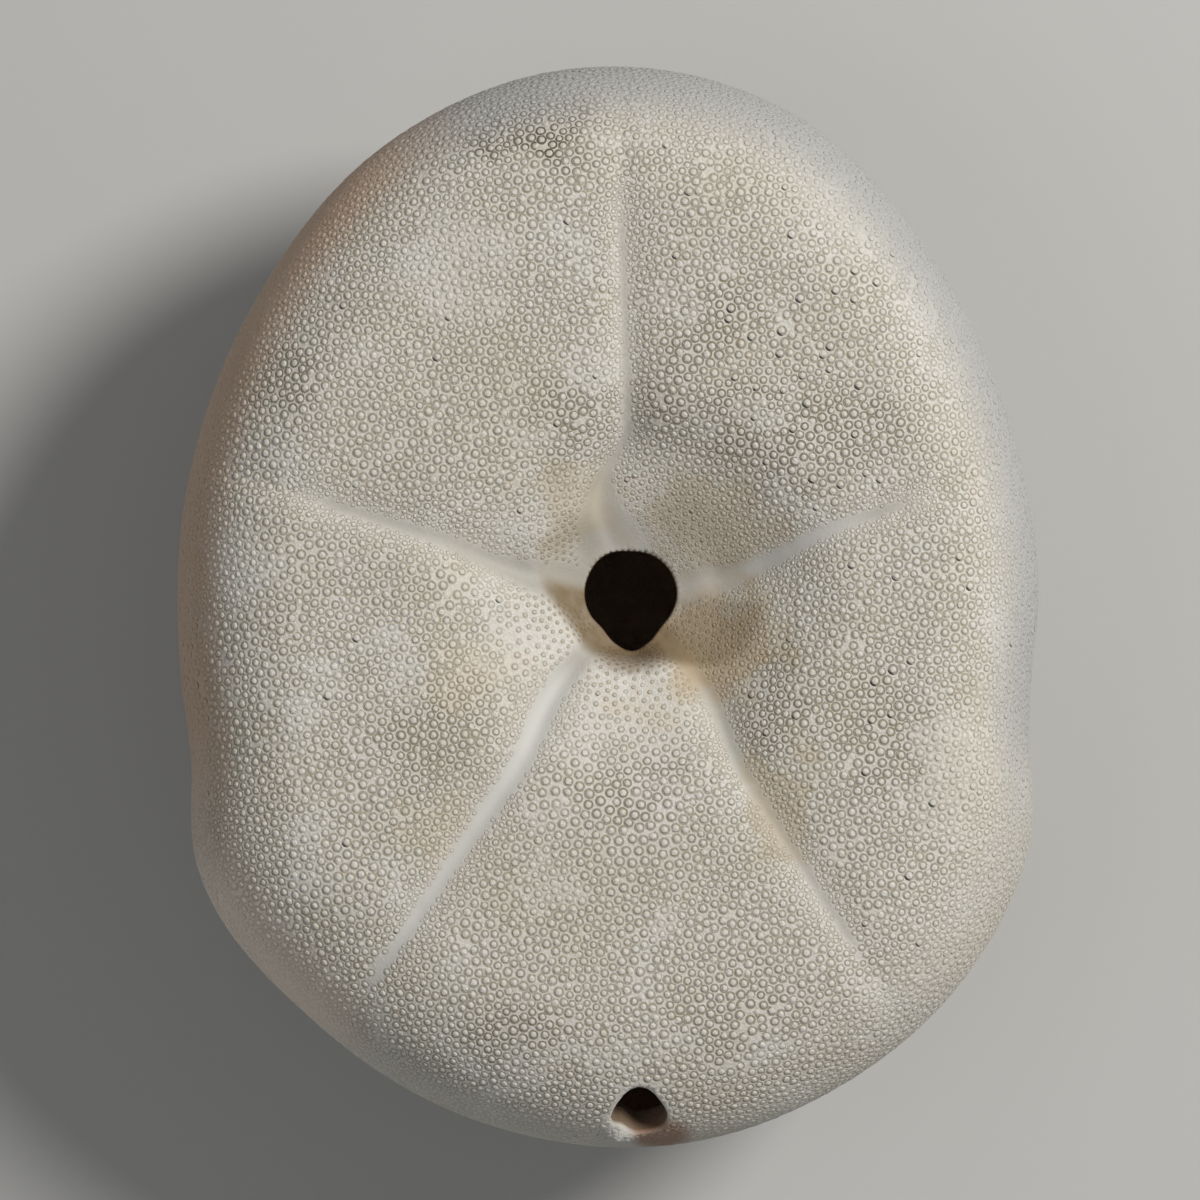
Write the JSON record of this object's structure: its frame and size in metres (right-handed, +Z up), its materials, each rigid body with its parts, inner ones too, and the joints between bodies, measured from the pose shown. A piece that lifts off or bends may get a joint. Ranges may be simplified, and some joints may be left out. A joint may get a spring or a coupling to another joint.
{
  "type": "sea biscuit",
  "caption": "Inflated oval sea biscuit shell lying on its dome, with a sunken mouth, shallow food grooves and raised petals on the dome.",
  "frame": {"origin": "below the middle of the bounding box, at the lowest point of the dome", "axes": "+Z up out of the oral face, +Y to the front end of the animal (the anal opening is at -Y), +X to the right as seen from above"},
  "size_m": [0.0954, 0.12, 0.0481],
  "materials": {
    "calcite": "dry matt cream calcite, lightly stained"
  },
  "bodies": {
    "root": {"shell": "calcite"}
  },
  "joints": []
}
